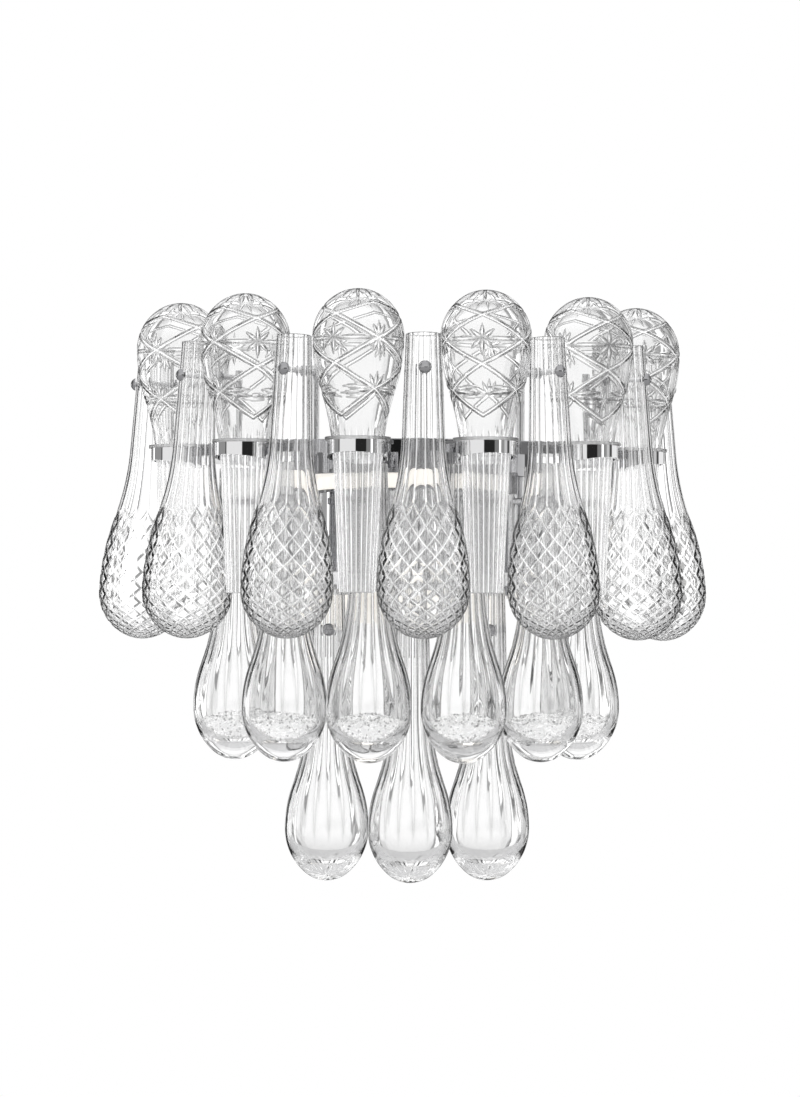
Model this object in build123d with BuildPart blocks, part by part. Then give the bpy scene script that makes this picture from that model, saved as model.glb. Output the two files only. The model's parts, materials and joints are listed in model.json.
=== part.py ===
"""Half-round crystal wall sconce: three tiers of hollow glass drops on a chrome frame.

Millimetres. The wall is the plane Y = 0 and the sconce stands out towards -Y; +Z is up.
The origin is the centre of the wall crossbar's screw slots, on the wall.
"Reach" is a distance out from the centre line of the half rings, a vertical line that stands
arc_standoff in front of the wall; "bearing" is the angle about it from straight ahead.
"""
import os
from math import asin, atan2, cos, degrees, radians, sin, tan

from build123d import *

os.makedirs("parts", exist_ok=True)

# ---------------------------------------------------------------- driving dimensions
arc_standoff = 38.0  # wall to the centre line of the half rings

# glass drops: every outline is a nose arc, a side arc up to the widest point, a shoulder arc
# that turns in by the shoulder angle, and a waist arc that runs into the straight neck taper
drop_length = 200.0
neck_radius = 11.8  # at the open end of every drop
neck_wall = 2.8
bulb_wall = 3.8
nose_wall = 4.0  # how much smaller the nose arc is inside
cut_base_extra = 1.2  # more glass at the tip of a cut bulb than in its wall
fluted_base_extra = 6.2  # the fluted drops have a heavy clear base
rod_hole_below_end = 22.7  # cross hole, measured along the neck from its open end
low_hole_below_end = 28.0

diamond_bulb_radius = 30.6
diamond_nose_inset = 2.6  # the nose arc is smaller than the bulb by this much
diamond_bulb_rise = 1.4  # the widest point is higher above the tip than the bulb's radius
diamond_shoulder_radius = 168.0
diamond_shoulder_angle = 17.7
diamond_taper_angle = 2.1

star_bulb_radius = 30.3
star_nose_inset = 2.3
star_bulb_rise = 1.7
star_shoulder_radius = 110.0
star_shoulder_angle = 18.0
star_taper_angle = 2.8

fluted_bulb_radius = 28.9
fluted_nose_inset = 5.9
fluted_bulb_rise = 7.1
fluted_shoulder_radius = 90.0
fluted_shoulder_angle = 19.5
fluted_taper_angle = 1.6

# rows of drops
pitch_angle = 30.0  # bearing between neighbours in a row
diamond_count = 7
star_count = 6
mid_count = 6
diamond_row_step = 6.2  # hanging upper necks stand this much further out than the upright drops
end_drop_shift = 6.3  # the two drops beside the wall hang further out
diamond_lean_angle = 2.8  # bulb outwards
bulb_to_neck_gap = 0.4  # least room kept between an upright bulb and a neck of the same reach
mid_bulb_gap = 5.7  # between neighbours of the middle tier
mid_nut_to_neck_gap = 8.9  # ball nuts of the middle tier to the upright drops' necks
low_bulb_gap = 4.6  # between neighbours of the bottom tier
low_row_angle = 27.5  # how far the bottom row bends back from its front drop
low_side_reach = 38.8  # straight ahead of the centre line

# heights, each from what it is set out from
tray_top = 53.0  # above the origin
mid_tray_drop = 87.0  # upper tray's top to the middle tray's top
upper_rod_above_tray = 44.3
mid_rod_above_tray = 48.8
low_neck_gap = 2.3  # open ends of the bottom drops to the middle tray
star_above_collar = 99.9

# sheet metal and the frame
tray_depth = 9.0
tray_plate = 3.0
rim_wall = 2.0
underplate = 2.0
rim_edge_round = 0.6
tray_wall_gap = 1.0  # back edge of the upper tray to the wall
light_radius = 60.0
light_depth = 9.0
light_rim_overhang = 2.0
light_rim_plate = 2.0
heat_sink_overhang = 28.0
heat_sink_depth = 11.0
core_wall = 1.5
low_light_side_gap = 2.4  # lower light to the side posts
low_light_front_gap = 6.6  # lower light to the front post
low_light_corner = 28.0
low_light_depth = 21.0
low_sink_depth = 6.0

# wall fixing
stud_beyond_core = 8.0  # stud axis to the side of the core housing
stud_radius = 2.0
stud_edge = 10.0  # stud axis to the end of the crossbar
stud_beyond_dish = 7.0
crossbar_height = 30.0
crossbar_plate = 2.5
crossbar_corner = 5.0
crossbar_end_gap = 2.0
screw_slot_spacing = 88.0
screw_slot_length = 12.0
screw_slot_width = 5.5
lead_hole_radius = 8.0
dish_height = 88.0
dish_depth = 12.0
dish_wall = 2.0
dish_corner = 14.0
cap_nut_radius = 5.0
cap_nut_height = 5.0

# side columns
column_beyond_core = 14.0  # column axis, sideways from the core housing
column_reach = 20.0
column_radius = 7.0
column_ring_overhang = 2.5
column_ring_height = 5.0
column_ring_below_sink = 14.0
column_spigot_radius = 4.0
column_nut_radius = 6.5
column_nut_height = 6.0
spigot_beyond_nut = 2.0

# collars for the upright drops
collar_below_tray_top = 2.5
collar_glass_gap = 0.8
collar_to_tray = 0.4
collar_wall = 2.0
collar_front_depth = 8.2
collar_back_depth = 15.0
collar_lug_width = 9.0
seat_ring_overhang = 1.6
seat_ring_depth = 2.0
collar_screw_radius = 1.25
collar_screw_head_depth = 1.6
collar_screw_length = 3.4

# posts, rods and nuts
post_radius = 3.0
upper_post_inset = 4.9  # post axis inside the tray's rim
mid_post_inset = 5.9
mid_rod_run = 25.2  # post axis to neck axis
low_post_behind = 20.0
post_above_rod = 5.0
low_post_below_rod = 19.0
rod_radius = 2.0
ball_nut_radius = 4.3
ball_nut_depth = 3.2
stop_nut_radius = 3.6
stop_nut_depth = 2.0

# granules in the middle drops
granules_below_widest = 1.7

# inner parts
driver_size = (84.0, 26.0, 20.0)
driver_to_dish = 4.0
terminal_size = (36.0, 15.0, 11.0)
terminal_below_light = 1.5

# clearances
running_clearance = 0.1  # rod in glass
glass_gap = 0.3  # glass to a nut or a seat
fit_clearance = 0.2  # metal in metal
granule_gap = 0.3


# ---------------------------------------------------------------- helpers
def outward(bearing):
    """Unit vector that points out from the centre line at a bearing."""
    return Vector(sin(radians(bearing)), -cos(radians(bearing)), 0)


def ring_point(bearing, reach, height):
    """Point at a bearing, reach and height about the centre line."""
    return Vector(0, -arc_standoff, height) + outward(bearing) * reach


def front_point(x, reach, height):
    """Point at a sideways distance and straight-ahead reach from the centre line."""
    return Vector(x, -arc_standoff - reach, height)


def section_plane(seat):
    """Plane through a drop's axis: x runs outwards, y runs from the bulb to the neck."""
    return Plane(origin=seat.origin, x_dir=seat.x_dir, z_dir=-seat.y_dir)


class DropShape:
    """Sizes of one kind of drop, outside, and how they give its outline."""

    def __init__(self, bulb_radius, nose_inset, bulb_rise, shoulder_radius, shoulder_angle, taper, base_extra):
        self.nose_radius = bulb_radius - nose_inset
        self.bulb_radius = bulb_radius
        self.bulb_height = bulb_radius + bulb_rise
        self.shoulder_radius = shoulder_radius
        self.shoulder_angle = shoulder_angle
        self.taper = taper
        self.base = bulb_wall + base_extra

    def neck_radius_at(self, below_end):
        """Radius of the straight neck taper, measured from the open end."""
        return neck_radius + below_end * tan(radians(self.taper))

    def radius_at(self, height):
        """Outside radius above the widest point, at a height from the bulb's tip."""
        angle = radians(self.shoulder_angle)
        turn_height = self.bulb_height + self.shoulder_radius * sin(angle)
        if height < turn_height:
            side = asin((height - self.bulb_height) / self.shoulder_radius)
            return self.bulb_radius - self.shoulder_radius * (1 - cos(side))
        turn_radius = self.bulb_radius - self.shoulder_radius * (1 - cos(angle))
        waist = waist_radius(turn_radius, turn_height, neck_radius, self.shoulder_angle, self.taper)
        heading = sin(angle) - (height - turn_height) / waist
        if heading > sin(radians(self.taper)):
            return turn_radius - waist * (cos(asin(heading)) - cos(angle))
        return self.neck_radius_at(drop_length - height)

    def outline(self, bulb_inset, neck_inset, base):
        """Draw the outline from the tip to the mouth, moved in by a wall, and return its end."""
        nose = self.nose_radius - (nose_wall if base else 0)
        wide = self.bulb_radius - bulb_inset
        side, nose_angle = dome_arcs(nose, wide, self.bulb_height - base)
        tip = JernArc((0, base), (1, 0), nose, nose_angle)
        flank = JernArc(tip @ 1, tip % 1, side, 90 - nose_angle)
        shoulder = JernArc(flank @ 1, (0, 1), self.shoulder_radius, self.shoulder_angle)
        turn = shoulder @ 1
        waist = waist_radius(turn.X, turn.Y, neck_radius - neck_inset, self.shoulder_angle, self.taper)
        waist_arc = JernArc(turn, shoulder % 1, waist, self.taper - self.shoulder_angle)
        mouth = (neck_radius - neck_inset, drop_length)
        Line(waist_arc @ 1, mouth)
        return mouth


def dome_arcs(nose, wide, rise):
    """Radius of the side arc above a nose arc, and the angle over which the nose arc runs."""
    side = (wide**2 + (rise - nose) ** 2 - nose**2) / (2 * (wide - nose))
    return side, degrees(atan2(side - wide, rise - nose))


def waist_radius(turn_radius, turn_height, mouth_radius, shoulder_angle, taper):
    """Radius of the arc that leaves the shoulder and ends tangent to the neck taper."""
    taper_line = mouth_radius + (drop_length - turn_height) * tan(radians(taper))
    distance = (turn_radius - taper_line) * cos(radians(taper))
    return distance / (1 - cos(radians(shoulder_angle - taper)))


def glass_drop(seat, shape, rod_line=None):
    """Hollow drop on its own axis, with a cross hole where a rod passes the neck."""
    with BuildPart() as drop:
        with BuildSketch(section_plane(seat)):
            with BuildLine():
                outer_mouth = shape.outline(0, 0, 0)
                inner_mouth = shape.outline(bulb_wall, neck_wall, shape.base)
                Line(outer_mouth, inner_mouth)
                Line((0, 0), (0, shape.base))
            make_face()
        revolve(axis=Axis(seat.origin, seat.z_dir))
        if rod_line is not None:
            with BuildSketch(rod_line):
                Circle(rod_hole_radius)
            extrude(amount=2 * neck_radius, both=True, mode=Mode.SUBTRACT)
    return drop.part


def half_disc(radius, back, height):
    """Face with the outline of a tray: a half circle with straight sides back to the line Y = back."""
    with BuildSketch(Plane.XY.offset(height)) as outline:
        with BuildLine():
            CenterArc((0, -arc_standoff), radius, 180, 180)
            Polyline((radius, -arc_standoff), (radius, back), (-radius, back), (-radius, -arc_standoff))
        make_face()
    return outline.sketch


def write(part, name):
    """Name a finished piece and write it out."""
    part.label = name
    export_step(part, f"parts/{name}.step")


diamond_shape = DropShape(
    diamond_bulb_radius, diamond_nose_inset, diamond_bulb_rise,
    diamond_shoulder_radius, diamond_shoulder_angle, diamond_taper_angle, cut_base_extra,
)
star_shape = DropShape(
    star_bulb_radius, star_nose_inset, star_bulb_rise,
    star_shoulder_radius, star_shoulder_angle, star_taper_angle, cut_base_extra,
)
fluted_shape = DropShape(
    fluted_bulb_radius, fluted_nose_inset, fluted_bulb_rise,
    fluted_shoulder_radius, fluted_shoulder_angle, fluted_taper_angle, fluted_base_extra,
)

# ---------------------------------------------------------------- heights above the origin
tray_bottom = tray_top - tray_depth
heat_sink_bottom = tray_bottom - heat_sink_depth
light_bottom = heat_sink_bottom - light_depth
core_top = light_bottom - light_rim_plate
mid_tray_top = tray_top - mid_tray_drop
mid_tray_bottom = mid_tray_top - tray_depth
low_sink_bottom = mid_tray_bottom - low_sink_depth
diamond_rod_height = tray_top + upper_rod_above_tray
mid_rod_height = mid_tray_top + mid_rod_above_tray
low_rod_height = mid_tray_bottom - low_neck_gap - low_hole_below_end
collar_top = tray_top - collar_below_tray_top
star_top = collar_top + star_above_collar
seat_ring_top = collar_top + seat_ring_depth
collar_screw_height = (tray_bottom + underplate + tray_top - tray_plate) / 2
collar_lug_depth = 2 * (collar_top - collar_screw_height)
collar_screw_head = collar_screw_height - tray_bottom - underplate - fit_clearance

# ---------------------------------------------------------------- reaches and sideways places
rod_hole_radius = rod_radius + running_clearance
mid_reach = (fluted_bulb_radius + mid_bulb_gap / 2) / sin(radians(pitch_angle / 2))
mid_nut_reach = mid_reach + fluted_shape.neck_radius_at(rod_hole_below_end) + glass_gap + ball_nut_depth
star_neck_beside_nut = star_shape.neck_radius_at(drop_length - star_top + mid_rod_height)
reach_past_nuts = mid_nut_reach + mid_nut_to_neck_gap + star_neck_beside_nut
bulb_and_neck = star_bulb_radius + neck_radius + bulb_to_neck_gap
reach_between_necks = bulb_and_neck / (2 * sin(radians(pitch_angle / 4)))
star_reach = max(reach_past_nuts, reach_between_necks)
diamond_neck_reach = star_reach + diamond_row_step
collar_outer_radius = star_shape.radius_at(star_above_collar) + collar_glass_gap + collar_wall
seat_ring_radius = collar_outer_radius + seat_ring_overhang
seat_ring_bore = star_shape.radius_at(star_top - seat_ring_top) + glass_gap
tray_radius = star_reach - collar_outer_radius - collar_to_tray
upper_post_reach = tray_radius - upper_post_inset
mid_post_reach = mid_reach - mid_rod_run
mid_tray_radius = mid_post_reach + mid_post_inset
low_bulb_distance = 2 * fluted_bulb_radius + low_bulb_gap
low_side_x = low_bulb_distance * cos(radians(low_row_angle))
low_front_reach = low_side_reach + low_bulb_distance * sin(radians(low_row_angle))
low_light_half_width = low_side_x - post_radius - low_light_side_gap
low_light_reach = low_front_reach - low_post_behind - post_radius - low_light_front_gap
heat_sink_radius = light_radius + heat_sink_overhang
column_x = light_radius + column_beyond_core
column_ring_radius = column_radius + column_ring_overhang
column_ring_top = heat_sink_bottom - column_ring_below_sink
stud_spacing = 2 * (light_radius + stud_beyond_core)
crossbar_width = stud_spacing + 2 * stud_edge
dish_width = crossbar_width + 2 * (crossbar_end_gap + dish_wall)
dish_front = -dish_depth
diamond_bearings = [(i - (diamond_count - 1) / 2) * pitch_angle for i in range(diamond_count)]
star_bearings = [(i - (star_count - 1) / 2) * pitch_angle for i in range(star_count)]
mid_bearings = [(i - (mid_count - 1) / 2) * pitch_angle for i in range(mid_count)]
low_places = [(-low_side_x, low_side_reach), (0.0, low_front_reach), (low_side_x, low_side_reach)]

# ---------------------------------------------------------------- wall fixing
with BuildPart() as crossbar:
    with BuildSketch(Plane.XZ):
        RectangleRounded(crossbar_width, crossbar_height, crossbar_corner)
        with GridLocations(screw_slot_spacing, 0, 2, 1):
            SlotOverall(screw_slot_length, screw_slot_width, mode=Mode.SUBTRACT)
        Circle(lead_hole_radius, mode=Mode.SUBTRACT)
    extrude(amount=crossbar_plate)
    with BuildSketch(Plane.XZ):
        with GridLocations(stud_spacing, 0, 2, 1):
            Circle(stud_radius)
    extrude(amount=dish_depth + stud_beyond_dish)
write(crossbar.part, "wall_crossbar")

with BuildPart() as dish:
    with BuildSketch(Plane.XZ):
        RectangleRounded(dish_width, dish_height, dish_corner)
    extrude(amount=dish_depth)
    with BuildSketch(Plane.XZ):
        RectangleRounded(dish_width - 2 * dish_wall, dish_height - 2 * dish_wall, dish_corner - dish_wall)
    extrude(amount=dish_depth - dish_wall, mode=Mode.SUBTRACT)
    with BuildSketch(Plane.XZ):
        Circle(lead_hole_radius)
        with GridLocations(stud_spacing, 0, 2, 1):
            Circle(stud_radius + fit_clearance)
    extrude(amount=dish_depth, mode=Mode.SUBTRACT)
write(dish.part, "back_dish")

with BuildPart() as cap_nuts:
    with BuildSketch(Plane.XZ.offset(dish_depth)):
        with GridLocations(stud_spacing, 0, 2, 1):
            Circle(cap_nut_radius)
    extrude(amount=cap_nut_height)
    with Locations(*[(x, dish_front - cap_nut_height, 0) for x in (-stud_spacing / 2, stud_spacing / 2)]):
        Sphere(cap_nut_radius)
    with BuildSketch(Plane.XZ.offset(dish_depth - cap_nut_radius)):
        with GridLocations(stud_spacing, 0, 2, 1):
            Circle(2 * cap_nut_radius)
    extrude(amount=cap_nut_radius, mode=Mode.SUBTRACT)
    with BuildSketch(Plane.XZ.offset(dish_depth)):
        with GridLocations(stud_spacing, 0, 2, 1):
            Circle(stud_radius + running_clearance)
    extrude(amount=stud_beyond_dish + running_clearance, mode=Mode.SUBTRACT)
write(cap_nuts.part, "cap_nuts")


# ---------------------------------------------------------------- trays
spigot_places = [(-column_x, -arc_standoff - column_reach), (column_x, -arc_standoff - column_reach)]


def tray_pan(radius, top, back):
    """Pan with its plate on top and a turned-down rim all round."""
    with BuildPart() as pan:
        extrude(half_disc(radius, back, top - tray_depth), amount=tray_depth)
        inside = half_disc(radius - rim_wall, back - rim_wall, top - tray_depth)
        extrude(inside, amount=tray_depth - tray_plate, mode=Mode.SUBTRACT)
        fillet(pan.faces().sort_by(Axis.Z)[-1].edges(), rim_edge_round)
    return pan.part


def closing_sheet(radius, bottom, back):
    """Flat plate that closes a pan from below, inside its rim."""
    play = rim_wall + fit_clearance
    with BuildPart() as sheet:
        extrude(half_disc(radius - play, back - play, bottom), amount=underplate)
    return sheet.part


with BuildPart() as upper_tray:
    add(tray_pan(tray_radius, tray_top, -tray_wall_gap))
    for star_bearing in star_bearings:
        screw_hole = ring_point(star_bearing, tray_radius, collar_screw_height)
        with BuildSketch(Plane(screw_hole, z_dir=outward(star_bearing))):
            Circle(collar_screw_radius + fit_clearance)
        extrude(amount=2 * rim_wall, both=True, mode=Mode.SUBTRACT)
write(upper_tray.part, "upper_tray")
write(closing_sheet(tray_radius, tray_bottom, -tray_wall_gap), "upper_closing_plate")

for sheet, sheet_name in (
    (tray_pan(mid_tray_radius, mid_tray_top, dish_front), "mid_tray"),
    (closing_sheet(mid_tray_radius, mid_tray_bottom, dish_front), "mid_closing_plate"),
):
    with BuildPart() as drilled:
        add(sheet)
        with BuildSketch(Plane.XY.offset(mid_tray_bottom)):
            with Locations(*spigot_places):
                Circle(column_spigot_radius + fit_clearance)
        extrude(amount=tray_depth, mode=Mode.SUBTRACT)
    write(drilled.part, sheet_name)

# ---------------------------------------------------------------- core and lights
with BuildPart() as heat_sink:
    extrude(half_disc(heat_sink_radius, dish_front, heat_sink_bottom), amount=heat_sink_depth)
    fillet(heat_sink.faces().sort_by(Axis.Z)[0].edges(), rim_edge_round)
write(heat_sink.part, "upper_heat_sink")

with BuildPart() as upper_light:
    extrude(half_disc(light_radius, dish_front, light_bottom), amount=light_depth)
write(upper_light.part, "upper_light_slab")

with BuildPart() as light_rim:
    extrude(half_disc(light_radius + light_rim_overhang, dish_front, core_top), amount=light_rim_plate)
    fillet(light_rim.edges().filter_by(GeomType.CIRCLE), rim_edge_round)
write(light_rim.part, "light_rim_plate")

with BuildPart() as core_housing:
    core_height = core_top - mid_tray_top
    extrude(half_disc(light_radius, dish_front, mid_tray_top), amount=core_height)
    core_inside = half_disc(light_radius - core_wall, dish_front, mid_tray_top)
    extrude(core_inside, amount=core_height, mode=Mode.SUBTRACT)
write(core_housing.part, "core_housing")


def low_light_face(height):
    """Rounded outline of the lower light, which stands out from the dish between the bottom posts."""
    front = -arc_standoff - low_light_reach
    with BuildSketch(Plane.XY.offset(height)) as outline:
        with Locations((0, (dish_front + front) / 2)):
            Rectangle(2 * low_light_half_width, dish_front - front)
        fillet(outline.vertices().group_by(Axis.Y)[0], low_light_corner)
    return outline.sketch


with BuildPart() as low_sink:
    extrude(low_light_face(low_sink_bottom), amount=low_sink_depth)
write(low_sink.part, "lower_heat_sink")

with BuildPart() as low_light:
    extrude(low_light_face(low_sink_bottom - low_light_depth), amount=low_light_depth)
    fillet(low_light.faces().sort_by(Axis.Z)[0].edges(), rim_edge_round)
write(low_light.part, "lower_light_slab")

with BuildPart() as driver:
    driver_centre = dish_front - driver_to_dish - driver_size[1] / 2
    with BuildSketch(Plane.XY.offset(mid_tray_top)):
        with Locations((0, driver_centre)):
            RectangleRounded(driver_size[0], driver_size[1], rim_wall)
    extrude(amount=driver_size[2])
write(driver.part, "led_driver")

with BuildPart() as terminal:
    with BuildSketch(Plane.XY.offset(core_top - terminal_below_light - terminal_size[2])):
        with Locations((0, dish_front - terminal_size[1] / 2)):
            Rectangle(terminal_size[0], terminal_size[1])
    extrude(amount=terminal_size[2])
write(terminal.part, "terminal_block")

# ---------------------------------------------------------------- side columns
with BuildPart() as columns:
    with BuildSketch(Plane.XY.offset(mid_tray_top)):
        with Locations(*spigot_places):
            Circle(column_radius)
    extrude(amount=heat_sink_bottom - mid_tray_top)
    with BuildSketch(Plane.XY.offset(column_ring_top - column_ring_height)):
        with Locations(*spigot_places):
            Circle(column_ring_radius)
    extrude(amount=column_ring_height)
    circles = columns.edges().filter_by(GeomType.CIRCLE)
    fillet([e for e in circles if e.radius > column_radius + fit_clearance], rim_edge_round)
    with BuildSketch(Plane.XY.offset(mid_tray_top)):
        with Locations(*spigot_places):
            Circle(column_spigot_radius)
    extrude(amount=-(tray_depth + column_nut_height + spigot_beyond_nut))
write(columns.part, "side_columns")

with BuildPart() as column_nuts:
    with BuildSketch(Plane.XY.offset(mid_tray_bottom)):
        with Locations(*spigot_places):
            RegularPolygon(column_nut_radius, 6)
            Circle(column_spigot_radius + running_clearance, mode=Mode.SUBTRACT)
    extrude(amount=-column_nut_height)
write(column_nuts.part, "column_nuts")

# ---------------------------------------------------------------- collars and seating rings
collar_slope = (collar_back_depth - collar_front_depth) / (2 * collar_outer_radius)

for index, star_bearing in enumerate(star_bearings):
    aim = outward(star_bearing)
    centre = ring_point(star_bearing, star_reach, collar_top)
    with BuildPart() as collar:
        with BuildSketch(Plane(centre, x_dir=aim, z_dir=(0, 0, 1))):
            Circle(collar_outer_radius)
        extrude(amount=-collar_back_depth)
        with BuildSketch(Plane(ring_point(star_bearing, tray_radius, collar_top), x_dir=aim, z_dir=(0, 0, 1))):
            with Locations((collar_outer_radius / 2, 0)):
                Rectangle(collar_outer_radius, collar_lug_width)
        extrude(amount=-collar_lug_depth)
        with BuildSketch(Plane(centre, x_dir=aim, z_dir=(0, 0, 1))):
            Circle(collar_outer_radius - collar_wall)
        extrude(amount=-collar_back_depth, mode=Mode.SUBTRACT)
        # the lower edge is cut off at a slant: shallow in front, deep at the back
        with BuildSketch(Plane(centre, x_dir=aim, z_dir=aim.cross(Vector(0, 0, 1)))):
            with BuildLine():
                Polyline(
                    (collar_outer_radius, -collar_front_depth),
                    (2 * collar_outer_radius, -collar_front_depth + collar_slope * collar_outer_radius),
                    (2 * collar_outer_radius, -2 * collar_back_depth),
                    (-2 * collar_outer_radius, -2 * collar_back_depth),
                    (-2 * collar_outer_radius, -collar_back_depth - collar_slope * collar_outer_radius),
                    close=True,
                )
            make_face()
        extrude(amount=2 * collar_outer_radius, both=True, mode=Mode.SUBTRACT)
        # the lug's back follows the tray's rim
        with BuildSketch(Plane(Vector(0, -arc_standoff, collar_top))):
            Circle(tray_radius)
        extrude(amount=-collar_back_depth, mode=Mode.SUBTRACT)
        screw_start = ring_point(star_bearing, tray_radius, collar_screw_height)
        with BuildSketch(Plane(screw_start, z_dir=aim)):
            Circle(collar_screw_radius + running_clearance)
        extrude(amount=collar_screw_length - rim_wall + running_clearance, mode=Mode.SUBTRACT)
    write(collar.part, f"collar_{index + 1}")

with BuildPart() as seat_rings:
    for star_bearing in star_bearings:
        with BuildSketch(Plane(ring_point(star_bearing, star_reach, collar_top))):
            Circle(seat_ring_radius)
            Circle(seat_ring_bore, mode=Mode.SUBTRACT)
        extrude(amount=seat_ring_depth)
    with BuildSketch(Plane(Vector(0, -arc_standoff, collar_top))):
        Circle(tray_radius + glass_gap)
    extrude(amount=seat_ring_depth, mode=Mode.SUBTRACT)
write(seat_rings.part, "collar_seat_rings")

with BuildPart() as collar_screws:
    for star_bearing in star_bearings:
        aim = outward(star_bearing)
        head_seat = ring_point(star_bearing, tray_radius - rim_wall, collar_screw_height)
        with BuildSketch(Plane(head_seat, z_dir=aim)):
            Circle(collar_screw_radius)
        extrude(amount=collar_screw_length)
        with BuildSketch(Plane(head_seat - aim * fit_clearance, z_dir=-aim)):
            Circle(collar_screw_head)
        extrude(amount=collar_screw_head_depth)
        with BuildSketch(Plane(head_seat, z_dir=-aim)):
            Circle(collar_screw_radius)
        extrude(amount=fit_clearance)
write(collar_screws.part, "collar_screws")


# ---------------------------------------------------------------- hanging points
class Hanger:
    """Where one hanging drop's rod runs: start at its post, through the neck, to its ball nut."""

    def __init__(self, neck_point, aim, post_distance, shape, hole_below_end, lean):
        self.neck_point = neck_point  # neck axis at the height of the rod
        self.aim = aim
        self.post_point = neck_point - aim * post_distance
        half_neck = shape.neck_radius_at(hole_below_end) / cos(radians(lean))
        self.nut_distance = half_neck + glass_gap + ball_nut_radius * tan(radians(shape.taper + lean))
        self.up = Vector(0, 0, 1) * cos(radians(lean)) - aim * sin(radians(lean))
        self.base = neck_point - self.up * (drop_length - hole_below_end)

    def seat(self):
        """Frame at the bulb's tip with z along the drop's axis."""
        side = self.aim.cross(self.up)
        return Plane(self.base, x_dir=side.cross(self.up) * -1, z_dir=self.up)

    def rod_plane(self):
        """Plane square to the rod at the neck's axis."""
        return Plane(self.neck_point, z_dir=self.aim)


def diamond_hanger(bearing):
    """Outer row of the upper tier; the drops beside the wall sit further out."""
    shift = end_drop_shift if abs(bearing) == max(diamond_bearings) else 0
    reach = diamond_neck_reach + shift
    point = ring_point(bearing, reach, diamond_rod_height)
    return Hanger(point, outward(bearing), reach - upper_post_reach, diamond_shape, rod_hole_below_end,
                  diamond_lean_angle)


def mid_hanger(bearing):
    """Row of the middle tier."""
    point = ring_point(bearing, mid_reach, mid_rod_height)
    return Hanger(point, outward(bearing), mid_reach - mid_post_reach, fluted_shape, rod_hole_below_end, 0)


def low_hanger(place):
    """Bottom tier; all its rods point straight ahead."""
    point = front_point(place[0], place[1], low_rod_height)
    return Hanger(point, outward(0), low_post_behind, fluted_shape, low_hole_below_end, 0)


diamond_hangers = [diamond_hanger(bearing) for bearing in diamond_bearings]
mid_hangers = [mid_hanger(bearing) for bearing in mid_bearings]
low_hangers = [low_hanger(place) for place in low_places]
hangers = diamond_hangers + mid_hangers + low_hangers


def posts(row, foot_height, head_height):
    """Upright pins of one row, each with a hole for its rod."""
    with BuildPart() as group:
        for hanger in row:
            foot = Vector(hanger.post_point.X, hanger.post_point.Y, foot_height)
            with BuildSketch(Plane(foot)):
                Circle(post_radius)
            extrude(amount=head_height - foot_height)
        heads = group.faces().filter_by(Axis.Z).group_by(Axis.Z)[-1 if head_height > foot_height else 0]
        fillet(heads.edges(), rim_edge_round)
        for hanger in row:
            with BuildSketch(Plane(hanger.post_point, z_dir=hanger.aim)):
                Circle(rod_radius + running_clearance)
            extrude(amount=2 * post_radius, both=True, mode=Mode.SUBTRACT)
    return group.part


write(posts(diamond_hangers, tray_top, diamond_rod_height + post_above_rod), "upper_posts")
write(posts(mid_hangers, mid_tray_top, mid_rod_height + post_above_rod), "mid_posts")
write(posts(low_hangers, mid_tray_bottom, low_rod_height - low_post_below_rod), "low_posts")

with BuildPart() as rods:
    for hanger in hangers:
        rod_start = hanger.post_point - hanger.aim * post_radius
        rod_end = hanger.neck_point + hanger.aim * (hanger.nut_distance + ball_nut_depth / 2)
        with BuildSketch(Plane(rod_start, z_dir=hanger.aim)):
            Circle(rod_radius)
        extrude(amount=(rod_end - rod_start).length)
write(rods.part, "hanging_rods")

nut_dome_radius = (ball_nut_radius**2 + ball_nut_depth**2) / (2 * ball_nut_depth)
with BuildPart() as ball_nuts:
    for hanger in hangers:
        seat_point = hanger.neck_point + hanger.aim * hanger.nut_distance
        nut_seat = Plane(seat_point, x_dir=(0, 0, 1), z_dir=hanger.aim)
        with BuildSketch(section_plane(nut_seat)):
            with BuildLine():
                Line((0, 0), (ball_nut_radius, 0))
                RadiusArc((ball_nut_radius, 0), (0, ball_nut_depth), -nut_dome_radius)
                Line((0, ball_nut_depth), (0, 0))
            make_face()
        revolve(axis=Axis(seat_point, hanger.aim))
        with BuildSketch(Plane(seat_point, z_dir=hanger.aim)):
            Circle(rod_radius + running_clearance)
        extrude(amount=ball_nut_depth / 2 + running_clearance, mode=Mode.SUBTRACT)
write(ball_nuts.part, "ball_nuts")

with BuildPart() as stop_nuts:
    for hanger in hangers:
        stop_point = hanger.neck_point - hanger.aim * hanger.nut_distance
        with BuildSketch(Plane(stop_point, z_dir=-hanger.aim)):
            Circle(stop_nut_radius)
            Circle(rod_radius + running_clearance, mode=Mode.SUBTRACT)
        extrude(amount=stop_nut_depth)
write(stop_nuts.part, "stop_nuts")

# ---------------------------------------------------------------- glass
for index, hanger in enumerate(diamond_hangers):
    write(glass_drop(hanger.seat(), diamond_shape, hanger.rod_plane()), f"diamond_drop_{index + 1}")

for index, star_bearing in enumerate(star_bearings):
    top_point = ring_point(star_bearing, star_reach, star_top)
    upturned = Plane(top_point, x_dir=outward(star_bearing), z_dir=(0, 0, -1))
    write(glass_drop(upturned, star_shape), f"star_drop_{index + 1}")

for row, row_name in ((mid_hangers, "mid_drop"), (low_hangers, "low_drop")):
    for index, hanger in enumerate(row):
        write(glass_drop(hanger.seat(), fluted_shape, hanger.rod_plane()), f"{row_name}_{index + 1}")

# ---------------------------------------------------------------- granule beds
bed_bottom = fluted_shape.base + granule_gap
bed_radius = fluted_bulb_radius - bulb_wall - granule_gap
bed_nose_radius = fluted_shape.nose_radius - nose_wall
bed_side_radius, bed_nose_angle = dome_arcs(bed_nose_radius, bed_radius, fluted_shape.bulb_height - bed_bottom)

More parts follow.
